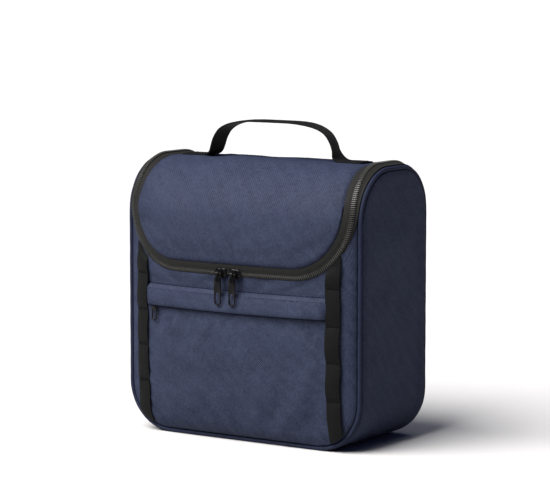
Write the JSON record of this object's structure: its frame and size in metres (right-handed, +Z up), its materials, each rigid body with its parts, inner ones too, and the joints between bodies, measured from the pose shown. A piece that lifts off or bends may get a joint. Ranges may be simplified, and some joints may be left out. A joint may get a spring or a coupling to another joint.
{
  "type": "shaving kit bag",
  "caption": "Upright padded wash bag with a hinged lid zipped round three sides, a flapped zip pocket, webbing gear strips and a carrying handle.",
  "frame": {"origin": "middle of the flat underside", "axes": "+X to the right seen from the front, -Y out of the front, +Z up to the handle"},
  "size_m": [0.24, 0.1404, 0.2734],
  "materials": {
    "navy_polyester": "woven polyester, soft sheen",
    "padding_foam": "thin padding, never seen",
    "nylon_lining": "smooth woven nylon",
    "zip_tape": "ribbed woven tape",
    "webbing": "ribbed polyester webbing",
    "nylon_coil": "moulded nylon coil",
    "black_enamel": "glossy black enamel",
    "stiffener_board": "plain sheet plastic"
  },
  "bodies": {
    "bag": {"front_panel": "navy_polyester", "front_foam": "padding_foam", "front_lining": "nylon_lining", "back_panel": "navy_polyester", "back_foam": "padding_foam", "back_lining": "nylon_lining", "side_panel_left": "navy_polyester", "side_lining_left": "nylon_lining", "side_panel_right": "navy_polyester", "side_lining_right": "nylon_lining", "base_panel": "navy_polyester", "base_board": "stiffener_board", "base_lining": "nylon_lining", "seam_piping": "navy_polyester", "zip_tape_body": "zip_tape", "zip_coil_body": "nylon_coil", "hinge_binding": "nylon_lining", "zip_end_tab_left": "zip_tape", "zip_end_tab_right": "zip_tape", "pocket_face": "navy_polyester", "pocket_tape_lower": "zip_tape", "pocket_tape_upper": "zip_tape", "pocket_coil_lower": "nylon_coil", "pocket_coil_upper": "nylon_coil", "pocket_flap": "navy_polyester", "gear_strip_left": "webbing", "gear_strip_right": "webbing", "bar_tack_left_1": "webbing", "bar_tack_left_2": "webbing", "bar_tack_left_3": "webbing", "bar_tack_left_4": "webbing", "bar_tack_right_1": "webbing", "bar_tack_right_2": "webbing", "bar_tack_right_3": "webbing", "bar_tack_right_4": "webbing"},
    "lid": {"lid_panel": "navy_polyester", "lid_foam": "padding_foam", "lid_lining": "nylon_lining", "zip_tape_lid": "zip_tape", "zip_coil_lid": "nylon_coil", "handle_foot_left": "webbing", "handle_foot_right": "webbing"},
    "handle": {"handle_hoop": "webbing"},
    "left_zip_slider": {"left_slider": "black_enamel"},
    "left_zip_pull": {"left_pull": "black_enamel"},
    "right_zip_slider": {"right_slider": "black_enamel"},
    "right_zip_pull": {"right_pull": "black_enamel"},
    "pocket_zip_slider": {"pocket_slider": "black_enamel"},
    "pocket_zip_pull": {"pocket_pull": "black_enamel"}
  },
  "joints": [
    {"name": "lid_hinge", "type": "hinge", "parent": "bag", "child": "lid", "pos_m": [0, 0.05159, 0.21268], "axis": [-1, 0, 0], "range_deg": [0, 140]},
    {"name": "handle_fold", "type": "hinge", "parent": "lid", "child": "handle", "pos_m": [0, -0.001, 0.2493], "axis": [1, 0, 0], "range_deg": [-55, 55], "deforming": ["handle_foot_left", "handle_foot_right"]},
    {"name": "left_zip_travel", "type": "hinge", "parent": "lid", "child": "left_zip_slider", "pos_m": [0, 0.6011, 0.1472], "axis": [0, 0, -1], "range_deg": [0, 3.8]},
    {"name": "left_pull_swing", "type": "hinge", "parent": "left_zip_slider", "child": "left_zip_pull", "pos_m": [-0.0093, -0.0765, 0.1472], "axis": [-0.9999, 0.0132, 0], "range_deg": [0, 160]},
    {"name": "right_zip_travel", "type": "hinge", "parent": "lid", "child": "right_zip_slider", "pos_m": [0, 0.6011, 0.1472], "axis": [0, 0, 1], "range_deg": [0, 4.1]},
    {"name": "right_pull_swing", "type": "hinge", "parent": "right_zip_slider", "child": "right_zip_pull", "pos_m": [0.00546, -0.07654, 0.1472], "axis": [-1, -0.0077, 0], "range_deg": [0, 160]},
    {"name": "pocket_zip_travel", "type": "hinge", "parent": "bag", "child": "pocket_zip_slider", "pos_m": [0, 0.5484, 0.117], "axis": [0, 0, 1], "range_deg": [0, 15.2]},
    {"name": "pocket_pull_swing", "type": "hinge", "parent": "pocket_zip_slider", "child": "pocket_zip_pull", "pos_m": [-0.0826, -0.06749, 0.1152], "axis": [-0.9886, 0.1508, 0], "range_deg": [0, 25]}
  ]
}
